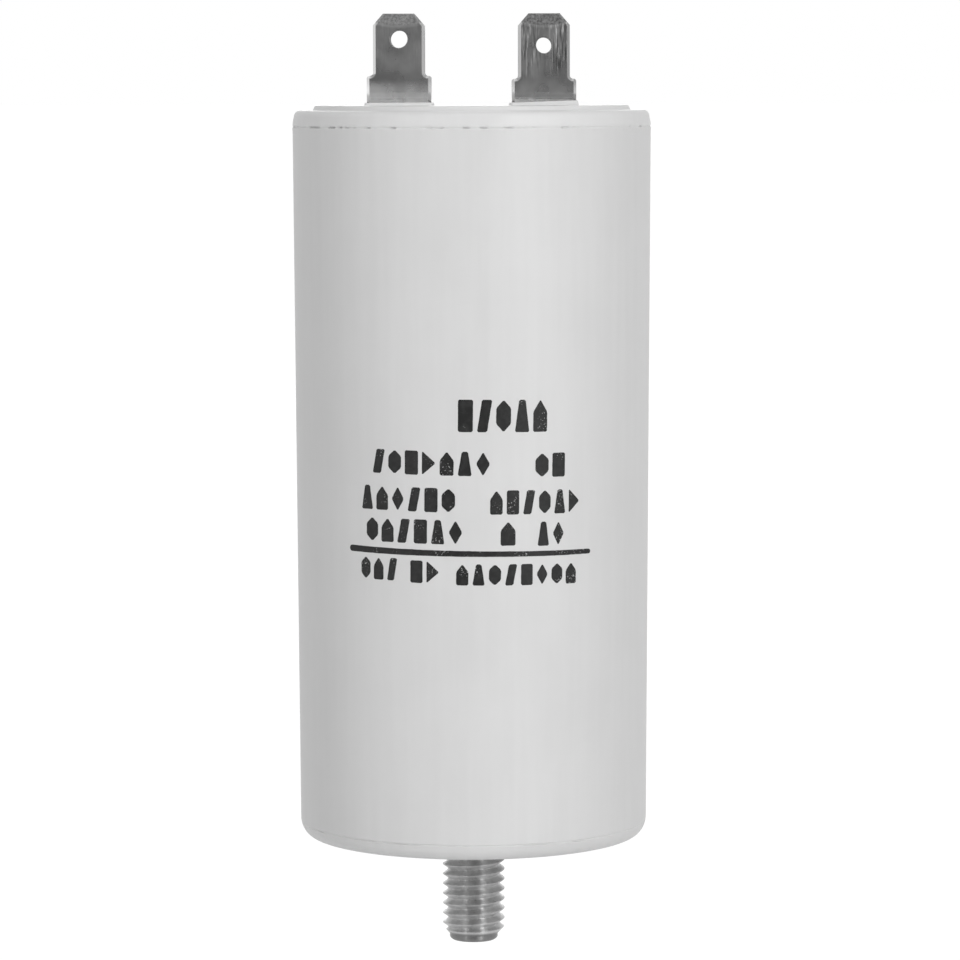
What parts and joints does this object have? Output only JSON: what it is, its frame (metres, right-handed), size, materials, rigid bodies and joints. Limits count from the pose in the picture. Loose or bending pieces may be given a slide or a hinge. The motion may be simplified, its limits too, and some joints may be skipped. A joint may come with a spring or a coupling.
{
  "type": "motor run capacitor",
  "caption": "Cylindrical film capacitor in a tapered plastic can with a threaded base stud and riveted double tab terminals on its lid.",
  "frame": {"origin": "centre of the can's base face, where the threaded stud leaves it", "axes": "+Z along the can's axis towards the terminals, -Z along the stud, +X through the two terminals, -Y faces the printed front"},
  "size_m": [0.045, 0.045, 0.1173],
  "materials": {
    "can_plastic": "moulded polypropylene, satin, off-white",
    "plated_steel": "zinc-plated, rolled thread",
    "tinned_strip": "tin-plated strip, stamped and bent",
    "tinned_rivet": "tin-plated rivet",
    "tag_brass": "stamped brass",
    "solder": "soft solder, satin",
    "copper": "tinned copper wire",
    "sleeve": "insulating sleeve",
    "film": "metallised polypropylene film, wound",
    "core_plastic": "extruded tube",
    "sprayed_zinc": "rough arc-sprayed zinc",
    "wrap_film": "adhesive film wrap",
    "resin": "cast potting resin"
  },
  "bodies": {
    "root": {"case": "can_plastic", "lid": "can_plastic", "stud": "plated_steel", "terminal_left": "tinned_strip", "terminal_right": "tinned_strip", "rivet_left": "tinned_rivet", "rivet_right": "tinned_rivet", "tag_left": "tag_brass", "tag_right": "tag_brass", "joint_left": "solder", "joint_right": "solder", "lead_upper": "copper", "lead_lower": "copper", "sleeve_upper": "sleeve", "sleeve_lower": "sleeve", "mound_upper": "solder", "mound_lower": "solder", "winding": "film", "core": "core_plastic", "spray_upper": "sprayed_zinc", "spray_lower": "sprayed_zinc", "wrap": "wrap_film", "resin": "resin"}
  },
  "joints": []
}
